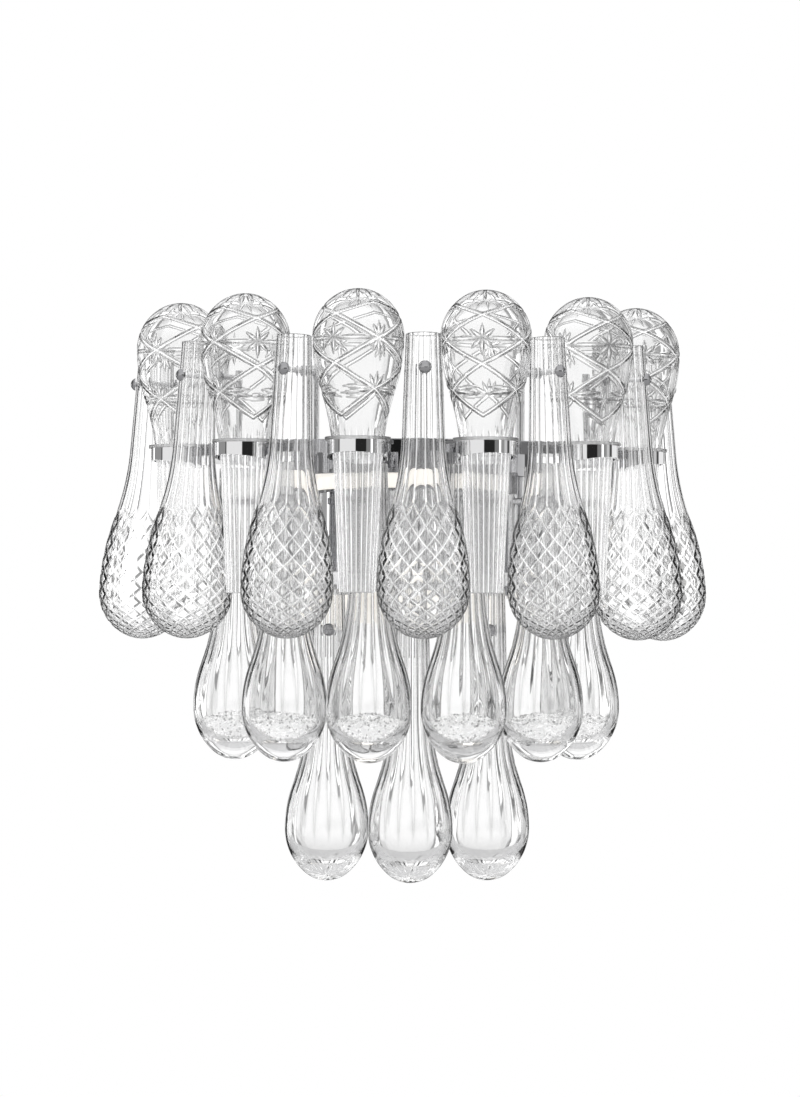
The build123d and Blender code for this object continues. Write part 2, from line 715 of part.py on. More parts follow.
for index, hanger in enumerate(mid_hangers):
    seat = hanger.seat()
    with BuildPart() as bed:
        with BuildSketch(section_plane(seat)):
            with BuildLine():
                tip = JernArc((0, bed_bottom), (1, 0), bed_nose_radius, bed_nose_angle)
                flank = JernArc(tip @ 1, tip % 1, bed_side_radius, 90 - bed_nose_angle)
                Polyline(flank @ 1, (0, fluted_shape.bulb_height), (0, bed_bottom))
            make_face()
            with Locations((0, fluted_shape.bulb_height - granules_below_widest)):
                Rectangle(2 * fluted_bulb_radius, fluted_shape.bulb_height, align=(Align.CENTER, Align.MIN),
                          mode=Mode.SUBTRACT)
        revolve(axis=Axis(seat.origin, seat.z_dir))
    write(bed.part, f"granule_bed_{index + 1}")
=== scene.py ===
"""Looks of the half-round crystal wall sconce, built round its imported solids.

Metres, in the solids' own frame: the wall is the plane Y = 0 and the sconce stands out towards -Y; +Z is up.
A drop's own frame has its origin at the bulb's tip and z along its axis, from the bulb to the neck; x runs
outwards. "Angle" turns about that axis from x, and "run" is the distance along the outline from the tip.
"""
import json
from math import atan2, cos, pi, radians, sin, tan

import bpy
import numpy as np
from mathutils import Matrix, Vector


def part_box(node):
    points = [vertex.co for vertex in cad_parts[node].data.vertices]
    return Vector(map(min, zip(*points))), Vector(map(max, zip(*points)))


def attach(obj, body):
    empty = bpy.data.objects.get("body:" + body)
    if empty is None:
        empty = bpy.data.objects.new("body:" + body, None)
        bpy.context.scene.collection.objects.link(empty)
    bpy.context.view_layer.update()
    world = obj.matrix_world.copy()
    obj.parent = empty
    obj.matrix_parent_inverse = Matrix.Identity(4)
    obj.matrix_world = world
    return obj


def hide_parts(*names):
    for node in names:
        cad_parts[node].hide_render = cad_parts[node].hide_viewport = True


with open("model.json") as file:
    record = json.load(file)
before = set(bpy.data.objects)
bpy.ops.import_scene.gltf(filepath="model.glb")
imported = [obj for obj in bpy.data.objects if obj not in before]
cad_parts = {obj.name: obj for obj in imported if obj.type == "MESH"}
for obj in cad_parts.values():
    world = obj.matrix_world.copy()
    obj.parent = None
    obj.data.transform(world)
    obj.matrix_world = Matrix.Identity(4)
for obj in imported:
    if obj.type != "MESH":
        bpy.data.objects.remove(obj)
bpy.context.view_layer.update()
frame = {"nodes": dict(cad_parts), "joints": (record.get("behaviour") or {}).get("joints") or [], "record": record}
joints = {joint["name"]: joint for joint in frame["joints"]}
seed = np.random.default_rng(11)

# ---------------------------------------------------------------- driving dimensions of the glass
DROP_LENGTH = 0.2
NECK_RADIUS = 0.0118
NECK_WALL = 0.0028
BULB_WALL = 0.0038
NOSE_WALL = 0.004
ROD_HOLE_RADIUS = 0.0021
UPPER_HOLE_BELOW_END = 0.0227
LOW_HOLE_BELOW_END = 0.028
DIAMOND_LEAN = radians(2.8)

DIAMOND = {"nose": 0.028, "bulb": 0.0306, "bulb_height": 0.032, "shoulder": 0.168,
           "shoulder_turn": radians(17.7), "taper": radians(2.1), "base": 0.005}
STAR = {"nose": 0.028, "bulb": 0.0303, "bulb_height": 0.032, "shoulder": 0.11,
        "shoulder_turn": radians(18), "taper": radians(2.8), "base": 0.005}
FLUTED = {"nose": 0.023, "bulb": 0.0289, "bulb_height": 0.036, "shoulder": 0.09,
          "shoulder_turn": radians(19.5), "taper": radians(1.6), "base": 0.01}

# the camera of the reference view
CAMERA_PLACE = Vector((-0.1773, -2.5117, -0.085))
CAMERA_TURN = radians(4.03)
CAMERA_RISE = radians(1.594)
CAMERA_ROLL = radians(0.25)
FOCAL_PIXELS = 3541
PHOTO_HEIGHT = 1097
SENSOR = 36.0


# ---------------------------------------------------------------- outlines
LIP_ROWS = 6
LIP_HEIGHT = 0.0007


class Outline:
    """A drop's outline from the tip to the mouth as a chain of tangent arcs and a straight taper.

    Each arc starts with the heading of the one before: nose arc, side arc up to the widest point, shoulder
    arc that leans in, waist arc that leans back out to the taper's angle. The inner outline has the same
    arcs moved in by the walls and up by the base.
    """

    ARC_POINTS = 160

    def __init__(self, shape, bulb_inset=0.0, neck_inset=0.0, base=0.0):
        nose = shape["nose"] - (NOSE_WALL if base else 0)
        wide = shape["bulb"] - bulb_inset
        rise = shape["bulb_height"] - base
        side = (wide**2 + (rise - nose) ** 2 - nose**2) / (2 * (wide - nose))
        nose_turn = atan2(side - wide, rise - nose)
        self.points = np.array([[0.0, base]])
        self.heading = np.array([0.0])
        self.arc(nose, nose_turn)
        self.arc(side, pi / 2 - nose_turn)
        self.arc(shape["shoulder"], shape["shoulder_turn"])
        mouth_radius = NECK_RADIUS - neck_inset
        turn_radius, turn_height = self.points[-1]
        on_taper = mouth_radius + (DROP_LENGTH - turn_height) * tan(shape["taper"])
        waist = (turn_radius - on_taper) * cos(shape["taper"])
        waist = waist / (1 - cos(shape["shoulder_turn"] - shape["taper"]))
        self.arc(waist, shape["taper"] - shape["shoulder_turn"])
        self.points = np.vstack([self.points, [mouth_radius, DROP_LENGTH]])
        self.heading = np.append(self.heading, self.heading[-1])
        steps = np.hypot(*np.diff(self.points, axis=0).T)
        self.run = np.concatenate([[0], np.cumsum(steps)])
        self.length = self.run[-1]
        self.edge = self.length - LIP_HEIGHT

    def arc(self, radius, turn):
        """Add an arc; a positive turn bends to the left of the travel."""
        heading = self.heading[-1]
        headings = heading + np.linspace(0, turn, self.ARC_POINTS)[1:]
        across = np.sign(turn) * radius
        centre = self.points[-1] + across * np.array([-sin(heading), cos(heading)])
        added = centre + across * np.stack([np.sin(headings), -np.cos(headings)], axis=1)
        self.points = np.vstack([self.points, added])
        self.heading = np.concatenate([self.heading, headings])

    def at(self, run):
        """Radius, height and heading at distances along the outline."""
        radius = np.interp(run, self.run, self.points[:, 0])
        height = np.interp(run, self.run, self.points[:, 1])
        return radius, height, np.interp(run, self.run, self.heading)

    def run_at_height(self, height):
        """Distance along the outline at which it reaches a height."""
        return np.interp(height, self.points[:, 1], self.run)


# ---------------------------------------------------------------- meshes
def new_piece(name, points, faces, material, sharp=None):
    """Smooth mesh object from an array of points and a list of face arrays, with their corners in columns.

    Edges steeper than the sharp angle stay hard.
    """
    mesh = bpy.data.meshes.new(name)
    mesh.vertices.add(len(points))
    mesh.vertices.foreach_set("co", np.asarray(points, np.float32).ravel())
    corners = np.concatenate([block.ravel() for block in faces])
    totals = np.concatenate([np.full(len(block), block.shape[1]) for block in faces])
    starts = np.concatenate([[0], np.cumsum(totals)[:-1]])
    mesh.loops.add(len(corners))
    mesh.loops.foreach_set("vertex_index", corners.astype(np.int32))
    mesh.polygons.add(len(totals))
    mesh.polygons.foreach_set("loop_start", starts.astype(np.int32))
    mesh.polygons.foreach_set("use_smooth", np.ones(len(totals), bool))
    mesh.update(calc_edges=True)
    mesh.validate()
    if sharp is not None:
        mesh.set_sharp_from_angle(angle=sharp)
    mesh.materials.append(material)
    piece = bpy.data.objects.new(name, mesh)
    bpy.context.scene.collection.objects.link(piece)
    return piece


def ring_faces(rings, columns):
    """Quads between neighbouring closed rings of points, as an array [ring gap, column, corner]."""
    ring, column = np.meshgrid(np.arange(rings - 1), np.arange(columns), indexing="ij")
    after = (column + 1) % columns
    first = ring * columns
    above = first + columns
    return np.stack([first + column, first + after, above + after, above + column], axis=-1)


def end_fans(count, columns):
    """Triangles that close the first and the last ring with the two points that follow the rings'."""
    column = np.arange(columns)
    after = (column + 1) % columns
    last = count - columns
    return [np.stack([after, column, np.full(columns, count)], axis=-1),
            np.stack([last + column, last + after, np.full(columns, count + 1)], axis=-1)]


def split_quads(quads, cut):
    """Two triangles for each quad, parted along the diagonal that a cut's edge or bottom follows.

    That is the diagonal whose ends are cut most alike, and of two such the deeper one.
    """
    a, b, c, d = (cut[quads[:, corner]] for corner in range(4))
    mismatch = np.abs(b - d) - np.abs(a - c)
    along_first = np.where(np.abs(mismatch) > 1e-6, mismatch > 0, a + c >= b + d)[:, None]
    first = np.where(along_first, quads[:, [0, 1, 2]], quads[:, [0, 1, 3]])
    second = np.where(along_first, quads[:, [0, 2, 3]], quads[:, [1, 2, 3]])
    return np.concatenate([first, second])


class RodHole:
    """A round hole through both walls of a neck, made by shaping the grid of points round it.

    A square block of quads on each side of the neck is left out. The grid round it is drawn to the hole's
    circle: a point whose place in the block is (p, q) goes to the circle in the same direction, and this
    fades out at twice the block's size. The block's edge points of both walls are then joined.
    """

    REACH = 2.0

    def __init__(self, below_end, lean, half):
        self.below_end = below_end
        self.lean = lean
        self.half = half

    def shape_grid(self, angle, run, radius, middle, mouth_run, upward):
        """Draw the grid to the two circles; upward is 1 where rows rise to the mouth, -1 where they fall."""
        columns = angle.shape[1]
        for side in (0, 1):
            across = (np.arange(columns) - side * columns // 2 + columns // 2) % columns - columns // 2
            p, q = np.meshgrid(across / self.half, upward * (np.arange(len(angle)) - middle) / self.half)
            ring = np.maximum(np.abs(p), np.abs(q))
            out = np.hypot(p, q) + 1e-9
            fade = np.clip((ring - 1) / (self.REACH - 1), 0, 1)
            fade = fade * fade * (3 - 2 * fade)
            near = ring < self.REACH
            drop = (1 - 2 * side) * radius * tan(self.lean)
            centre = mouth_run - self.below_end - drop
            own = radius * np.sin(across * 2 * pi / columns)
            x = (1 - fade) * ROD_HOLE_RADIUS * ring * p / out + fade * own
            y = (1 - fade) * (centre + ROD_HOLE_RADIUS * ring * q / out) + fade * run
            angle[near] = (side * pi + np.arcsin(np.clip(x / radius, -1, 1)))[near]
            run[near] = y[near]

    def cut(self, quads, outer_middle, inner_middle, columns):
        """Leave out the blocks' quads and return the rest with the quads of the two holes' walls."""
        keep = np.ones(quads.shape[:2], bool)
        walls = []
        half = self.half
        edge = np.arange(-half, half)
        ones = np.full(2 * half, half)
        loop = np.array([[*edge, *ones, *-edge, *-ones], [*-ones, *edge, *ones, *-edge]])
        after = np.roll(loop, -1, axis=1)
        for side in (0, 1):
            block = (np.arange(-half, half) + side * columns // 2) % columns
            for middle in (outer_middle, inner_middle):
                keep[middle - half:middle + half, block] = False
            corners = []
            for across, up in (loop, after):
                corners.append((outer_middle + up) * columns + (across + side * columns // 2) % columns)
            for across, up in (after, loop):
                corners.append((inner_middle - up) * columns + (across + side * columns // 2) % columns)
            walls.append(np.stack(corners, axis=-1))
        return quads[keep], walls


def glass_shell(shape, columns, outer_runs, inner_runs, outer_depth, inner_depth=None, hole=None):
    """Points, faces, uncut normals and marks of a hollow drop: a closed shell, open at the mouth.

    The outer wall goes from the tip to the mouth and the inner wall back down to its own tip. A point at an
    angle and a run stands on the outline there and is moved in along the outline's normal by the depth of
    the cuts. Its marks are its share down a V cut and its nearness to a ridge between flutes, both 0 to 1.
    """
    outer = Outline(shape)
    inner = Outline(shape, BULB_WALL, NECK_WALL, shape["base"])
    grids = []
    normals = []
    cuts = []
    marks = []
    middles = []
    for outline, runs, depth, upward in ((outer, outer_runs, outer_depth, 1),
                                         (inner, inner_runs, inner_depth, -1)):
        angle, run = np.meshgrid(np.arange(columns) * 2 * pi / columns, runs * 1.0)
        if hole is not None:
            middle = int(np.argmin(np.abs(runs - (outline.length - hole.below_end))))
            middles.append(middle)
            radius = outline.at(run)[0]
            hole.shape_grid(angle, run, radius, middle, outline.length, upward)
        radius, height, heading = outline.at(run)
        cut, share, ridge = depth(angle, run, radius) if depth is not None else np.zeros((3, *run.shape))
        cuts.append(cut.ravel())
        marks.append(np.stack([share.ravel(), ridge.ravel()], axis=-1))
        radius = radius - upward * cut * np.sin(heading)
        height = height + upward * cut * np.cos(heading)
        grids.append(np.stack([radius * np.cos(angle), radius * np.sin(angle), height], axis=-1))
        normal = [np.sin(heading) * np.cos(angle), np.sin(heading) * np.sin(angle), -np.cos(heading)]
        normals.append(upward * np.stack(normal, axis=-1))
    grids.insert(1, lip(grids[0][-1], grids[1][0]))
    normals.insert(1, np.tile([0.0, 0.0, 1.0], (LIP_ROWS, columns, 1)))
    cuts.insert(1, np.zeros(LIP_ROWS * columns))
    marks.insert(1, np.zeros((LIP_ROWS * columns, 2)))
    points = np.concatenate(grids).reshape(-1, 3)
    quads = ring_faces(len(points) // columns, columns)
    if hole is None:
        kept, walls = quads.reshape(-1, 4), []
    else:
        kept, walls = hole.cut(quads, middles[0], len(outer_runs) + LIP_ROWS + middles[1], columns)
    faces = [split_quads(kept, np.concatenate(cuts))] + walls + end_fans(len(points), columns)
    points = np.vstack([points, [0, 0, 0], [0, 0, shape["base"]]])
    normals = np.vstack([np.concatenate(normals).reshape(-1, 3), [0, 0, -1], [0, 0, 1]])
    return points, faces, normals, np.vstack([np.concatenate(marks), np.zeros((2, 2))])


def lip(outer, inner):
    """Rows of a ground lip with soft edges from the last outer row to the first inner one.

    Across the wall the height follows a superellipse that rises by the lip's height.
    """
    turn = pi * np.arange(1, LIP_ROWS + 1)[:, None, None] / (LIP_ROWS + 1)
    across = 0.5 - 0.5 * np.sign(np.cos(turn)) * np.abs(np.cos(turn)) ** 0.6
    rise = LIP_HEIGHT * np.sin(turn) ** 0.6
    return outer + (inner - outer) * across + np.array([0, 0, 1]) * rise


def neck_rows(outline, start, hole, pitch, coarse):
    """Runs from a start to the mouth: coarse steps, with fine ones at the hole's block and round it."""
    if hole is None:
        return np.linspace(start, outline.edge, coarse)
    middle = outline.length - hole.below_end
    reach = int(hole.half * hole.REACH) + 1
    fine = middle + pitch * np.arange(-reach, reach + 1)
    below = np.linspace(start, fine[0], coarse)[:-1]
    above = np.linspace(fine[-1], outline.edge, 8)[1:]
    return np.concatenate([below, fine, above])


def tip_rows(stop, count):
    """Runs from just off the tip to a stop, close together at the tip and evenly further on."""
    share = np.arange(1, count + 1) / count
    return stop * share ** 1.15


# ---------------------------------------------------------------- cuts
def fade(value):
    """Smooth step from 0 to 1 as the value goes from 0 to 1."""
    value = np.clip(value, 0, 1)
    return value * value * (3 - 2 * value)


def flutes(angle, share, count, depth):
    """Depth of scooped flutes and nearness to their ridges.

    The depth is the full depth times (share along - (distance from the flute's middle)^2), above 0, where the
    middle is 0 and the ridge between two flutes is 1. The nearness is that distance^6 times the share along.
    """
    across = np.mod(angle * count / (2 * pi), 1) * 2 - 1
    return depth * np.maximum(share - across**2, 0), share * across**6


LATTICE_CELLS = 16
CELL_STEPS = 12
LATTICE_GROWTH = 0.1106
LATTICE_START = 0.044
LATTICE_SLOPE = tan(radians(21))
GROOVE_SHARE = 3 / 12
LATTICE_FIRST = 1
LATTICE_LAST = 11
FLUTE_DEPTH = 0.00038
FLUTE_FADE = 0.012


def lattice_run(cell):
    """Run at a cell number: start * (exp(growth * cell) - 1), so cells get taller up the drop."""
    return LATTICE_START * (np.exp(LATTICE_GROWTH * cell) - 1)


def lattice_depth(angle, run, radius):
    """Depth, share and ridges of the cross-cut lattice: V cuts where u + k or u - k is a whole number.

    These are two families of spirals: u counts cells round the drop and k counts cells along it. Above the
    top cells only the outer side of the last zigzag cut is left, and the flutes of the neck run in points
    into its valleys.
    """
    around = angle * LATTICE_CELLS / (2 * pi)
    along = np.log(run / LATTICE_START + 1) / LATTICE_GROWTH
    cell_width = radius * 2 * pi / LATTICE_CELLS
    cell_height = LATTICE_GROWTH * (run + LATTICE_START)
    spacing = 1 / np.hypot(1 / cell_width, 1 / cell_height)
    to_line = np.minimum(np.abs(around + along - np.round(around + along)),
                         np.abs(around - along - np.round(around - along)))
    past_top = along - (LATTICE_LAST - np.abs(around - np.round(around)))
    distance = np.where(past_top > 0, past_top, to_line)
    share = np.maximum(1 - distance / GROOVE_SHARE, 0)
    lattice = LATTICE_SLOPE * spacing * GROOVE_SHARE * share
    top = lattice_run(LATTICE_LAST - 0.5)
    scoops, ridge = flutes(angle, fade((run - top) / FLUTE_FADE), LATTICE_CELLS, FLUTE_DEPTH)
    neck = past_top > 0
    return np.where(neck, np.maximum(lattice, scoops), lattice), share, np.where(neck, ridge, 0)


class Stroke:
    """One V cut of a wheel between two points of the glass, in the plane through both and the axis."""

    SLOPE = tan(radians(34))
    OVERRUN = 0.02

    def __init__(self, outline, start, end, half_width, leaf=True):
        self.ends = [outline_point(outline, *start), outline_point(outline, *end)]
        self.half_width = half_width
        self.leaf = leaf

    def depth(self, places):
        """Depth of the cut at an array of points: a V, which in a leaf swells and ends in points."""
        start, end = self.ends
        centre = np.array([0, 0, (start[2] + end[2]) / 2])
        normal = np.cross(start - centre, end - centre)
        normal = normal / np.linalg.norm(normal)
        along = (places - start) @ (end - start) / np.sum((end - start) ** 2)
        off = np.abs((places - centre) @ normal)
        between = (along > -self.OVERRUN) & (along < 1 + self.OVERRUN)
        near_side = (places - centre) @ (start + end - 2 * centre) > 0
        width = self.half_width * (np.sin(pi * np.clip(along, 0, 1) ** 0.85) if self.leaf else 1)
        return np.where(between & near_side, self.SLOPE * np.maximum(width - off, 0), 0)


def outline_point(outline, turn, height):
    """Point on a drop at a turn in degrees and a height in millimetres."""
    radius = outline.at(outline.run_at_height(height / 1000))[0]
    return np.array([radius * cos(radians(turn)), radius * sin(radians(turn)), height / 1000])


STAR_OUTLINE = Outline(STAR)
STAR_LAST = 0.09
LEAF = 0.0014
LONG_CUT = 0.0013
CROWN_CUT = 0.001
STAR_FLUTES = 24
STAR_FLUTE_DEPTH = 0.0004
STAR_FLUTE_START = 0.084
STAR_FLUTE_FADE = 0.028


def star_strokes():
    """Cuts of the star pattern: three equal sectors, each with a plain column between two rows of stars.

    Long cuts cross on the plain column at 18.5, 51 and 84 mm and meet in the stars at 34.5 and 67.5 mm.
    Turns are in degrees and heights in millimetres.
    """
    strokes = []
    for sector in (0, 120, 240):
        for side in (-1, 1):
            star = sector + side * 60
            for start, end in (((sector, 18.5), (star, 34.5)), ((star, 34.5), (sector, 51)),
                               ((sector, 51), (star, 67.5)), ((star, 67.5), (sector, 84))):
                strokes.append(Stroke(STAR_OUTLINE, start, end, LONG_CUT, leaf=False))
            strokes.append(Stroke(STAR_OUTLINE, (sector, 34.5), (star, 34.5), LEAF))
            for height in (65.4, 70.2):
                strokes.append(Stroke(STAR_OUTLINE, (star, 67.5), (sector + side * 3, height), LEAF))
            for turn, height in ((15, 41.3), (17, 27.7)):
                strokes.append(Stroke(STAR_OUTLINE, (sector, 34.5), (sector + side * turn, height), LEAF))
            for turn, height in ((9, 25), (9, 44), (19, 30.3), (19, 38.7)):
                strokes.append(Stroke(STAR_OUTLINE, (star, 34.5), (star - side * turn, height), LEAF))
            for turn, height in ((11, 58), (20, 63.3)):
                strokes.append(Stroke(STAR_OUTLINE, (star, 67.5), (star - side * turn, height), LEAF))
        for height in (24.5, 45.5):
            strokes.append(Stroke(STAR_OUTLINE, (sector, 34.5), (sector, height), LEAF))
        for start, end in ((34.5, 23), (34.5, 46), (67.5, 56)):
            strokes.append(Stroke(STAR_OUTLINE, (sector + 60, start), (sector + 60, end), LEAF))
        strokes.append(Stroke(STAR_OUTLINE, (sector, 18.5), (sector + 60, 10.7), CROWN_CUT, leaf=False))
        strokes.append(Stroke(STAR_OUTLINE, (sector + 60, 10.7), (sector + 120, 18.5), CROWN_CUT, leaf=False))
        for turn in (0, 30, 60, 90):
            strokes.append(Stroke(STAR_OUTLINE, (sector + turn, 0.05), (sector + turn, 8), LEAF))
    return strokes


def star_depth(angle, run, radius):
    """Depth, share and ridges of the star pattern and of the flutes that start in points below it.

    The depth is that of the deepest cut at a point, and the share that of the cut nearest to its bottom.
    """
    height = STAR_OUTLINE.at(run)[1]
    places = np.stack([radius * np.cos(angle), radius * np.sin(angle), height], axis=-1)
    cut = np.zeros_like(run)
    share = np.zeros_like(run)
    for stroke in star_strokes():
        own = stroke.depth(places)
        cut = np.maximum(cut, own)
        share = np.maximum(share, own / (stroke.SLOPE * stroke.half_width))
    start = fade((height - STAR_FLUTE_START) / STAR_FLUTE_FADE)
    scoops, ridge = flutes(angle, start, STAR_FLUTES, STAR_FLUTE_DEPTH)
    return np.maximum(cut, scoops), share, ridge * (1 - share)


FLUTED_OUTLINE = Outline(FLUTED)
BROAD_FLUTES = 18
BROAD_FLUTE_DEPTH = 0.0009
BROAD_FLUTE_START = 0.026
BROAD_FLUTE_GROWTH = 0.055


def fluted_depth(angle, run, radius):
    """Depth, share and ridges of the broad flutes, which grow evenly from rounded ends on the bulb."""
    height = FLUTED_OUTLINE.at(run)[1]
    share = np.clip((height - BROAD_FLUTE_START) / BROAD_FLUTE_GROWTH, 0, 1)
    scoops, ridge = flutes(angle, share, BROAD_FLUTES, BROAD_FLUTE_DEPTH)
    return scoops, np.zeros_like(run), ridge


BURST_RAYS = 36
BURST_DEPTH = 0.0005
BURST_REACH = 0.016


def burst_depth(angle, run, radius):
    """Depth, share and ridges of fine rays pressed into the inside of a fluted drop's base, round its middle.

    A ray is a V across the angle, and a sine along the run, shifted by two sines of the angle, breaks it up.
    """
    rays = np.abs(np.mod(angle * BURST_RAYS / pi, 2) - 1)
    broken = 0.5 + 0.5 * np.sin(run * 2600 + 9 * np.sin(angle * 7) + 4 * np.sin(angle * 13))
    rays = rays * broken * fade(run / 0.002) * fade((BURST_REACH - run) / 0.005)
    return BURST_DEPTH * rays, rays, np.zeros_like(run)


# ---------------------------------------------------------------- node helpers
class Nodes:
    """Short way to add and link shader nodes of one tree."""

    def __init__(self, tree):
        self.tree = tree

    def add(self, kind, *values, **settings):
        """Add a node, set its properties, and link or set its inputs in order; None leaves one alone."""
        node = self.tree.nodes.new(kind)
        for name, value in settings.items():
            setattr(node, name, value)
        for number, value in enumerate(values):
            self.put(node, number, value)
        return node

    def put(self, node, name, value):
        """Link a socket, or set a plain value, at one of a node's inputs."""
        if isinstance(value, bpy.types.NodeSocket):
            self.tree.links.new(value, node.inputs[name])
        elif value is not None:
            node.inputs[name].default_value = value

    def math(self, operation, *values):
        """Output of a math node."""
        return self.add("ShaderNodeMath", *values, operation=operation).outputs[0]

    def mix(self, share, first, second, blend="MIX"):
        """Output of a colour mix node."""
        node = self.add("ShaderNodeMix", data_type="RGBA", blend_type=blend)
        self.put(node, 0, share)
        self.put(node, 6, first)
        self.put(node, 7, second)
        return node.outputs[2]

    def ramp(self, value, stops, interpolation="LINEAR"):
        """Output of a colour ramp with grey or coloured stops, as (position, colour) pairs."""
        node = self.add("ShaderNodeValToRGB", value)
        node.color_ramp.interpolation = interpolation
        elements = node.color_ramp.elements
        while len(elements) < len(stops):
            elements.new(0.5)
        for element, (position, colour) in zip(elements, stops):
            element.position = position
            grey = colour if isinstance(colour, tuple) else (colour, colour, colour)
            element.color = (*grey, 1)
        return node.outputs[0]


def stepped(*zones, whole):
    """Ramp stops for zones of even grey with hard edges, each given by its start and its grey."""
    stops = []
    for number, (start, grey) in enumerate(zones):
        if number:
            stops.append(((start - 0.4) / whole, zones[number - 1][1]))
        stops.append(((start + 0.4 * (number > 0)) / whole, grey))
    return stops


def new_group(name, inputs, outputs):
    """Empty node group with its sockets, and the helper for its tree."""
    group = bpy.data.node_groups.new(name, "ShaderNodeTree")
    for socket, kind, default in inputs:
        made = group.interface.new_socket(socket, in_out="INPUT", socket_type=f"NodeSocket{kind}")
        made.default_value = default
    for socket, kind in outputs:
        group.interface.new_socket(socket, in_out="OUTPUT", socket_type=f"NodeSocket{kind}")
    nodes = Nodes(group)
    return group, nodes, nodes.add("NodeGroupInput"), nodes.add("NodeGroupOutput")


# ---------------------------------------------------------------- shared effects
def waviness_group():
    """Bumped normal of drawn glass: long soft waves and a little fine grain."""
    group, nodes, given, out = new_group("waviness", [("Size", "Float", 60.0), ("Depth", "Float", 0.0001)],
                                         [("Normal", "Vector")])
    place = nodes.add("ShaderNodeTexCoord").outputs["Object"]
    noise = nodes.add("ShaderNodeTexNoise", place)
    nodes.put(noise, "Scale", given.outputs["Size"])
    nodes.put(noise, "Detail", 2.0)
    bump = nodes.add("ShaderNodeBump")
    nodes.put(bump, "Height", noise.outputs["Fac"])
    nodes.put(bump, "Strength", 1.0)
    nodes.put(bump, "Distance", given.outputs["Depth"])
    nodes.put(out, 0, bump.outputs[0])
    return group


def polish_group():
    """Roughness and normal of polished metal: cloudy wipe marks and hair-fine scratches."""
    group, nodes, given, out = new_group("polish", [("Least", "Float", 0.03), ("Most", "Float", 0.1)],
                                         [("Roughness", "Float"), ("Normal", "Vector")])
    place = nodes.add("ShaderNodeTexCoord").outputs["Object"]
    cloud = nodes.add("ShaderNodeTexNoise", place)
    nodes.put(cloud, "Scale", 35.0)
    nodes.put(cloud, "Detail", 4.0)
    stretched = nodes.add("ShaderNodeMapping", place)
    nodes.put(stretched, "Scale", (40.0, 40.0, 900.0))
    scratch = nodes.add("ShaderNodeTexNoise", stretched.outputs[0])
    nodes.put(scratch, "Scale", 1.0)
    nodes.put(scratch, "Detail", 3.0)
    both = nodes.math("MULTIPLY", cloud.outputs["Fac"], scratch.outputs["Fac"])
    spread = nodes.add("ShaderNodeMapRange", both, 0.12, 0.4, given.outputs["Least"], given.outputs["Most"])
    nodes.put(out, 0, spread.outputs[0])
    bump = nodes.add("ShaderNodeBump")
    nodes.put(bump, "Height", scratch.outputs["Fac"])
    nodes.put(bump, "Strength", 0.04)
    nodes.put(bump, "Distance", 0.0002)
    nodes.put(out, 1, bump.outputs[0])
    return group


WAVINESS = waviness_group()
POLISH = polish_group()


def principled(name, colour, **values):
    """New material with its Principled shader, its node helper and plain values set by input name."""
    material = bpy.data.materials.new(name)
    material.use_nodes = True
    nodes = Nodes(material.node_tree)
    shader = material.node_tree.nodes["Principled BSDF"]
    shader.inputs["Base Color"].default_value = (*colour, 1)
    for key, value in values.items():
        shader.inputs[key.replace("_", " ")].default_value = value
    return material, nodes, shader


def far_wall_normal(nodes, surface, bumped):
    """Normal of the uncut curve where a wall is met from inside and not at a glance, bumped elsewhere."""
    uncut = nodes.add("ShaderNodeAttribute", attribute_name="uncut").outputs["Vector"]
    uncut = nodes.add("ShaderNodeVectorTransform", uncut, vector_type="NORMAL", convert_from="OBJECT",
                      convert_to="WORLD").outputs[0]
    inwards = nodes.add("ShaderNodeVectorMath", uncut, (-1.0, -1.0, -1.0), operation="MULTIPLY")
    inwards = inwards.outputs[0]
    alike = nodes.add("ShaderNodeVectorMath", inwards, surface["Normal"], operation="DOT_PRODUCT")
    not_cut_deep = nodes.math("GREATER_THAN", alike.outputs["Value"], 0.6)
    glance = nodes.add("ShaderNodeLayerWeight", 0.5).outputs["Facing"]
    far = nodes.math("MULTIPLY", surface["Backfacing"], not_cut_deep)
    far = nodes.math("MULTIPLY", far, nodes.math("LESS_THAN", glance, 0.25))
    normal = nodes.add("ShaderNodeMix", far, data_type="VECTOR")
    nodes.put(normal, 4, bumped)
    nodes.put(normal, 5, inwards)
    return normal.outputs[1]


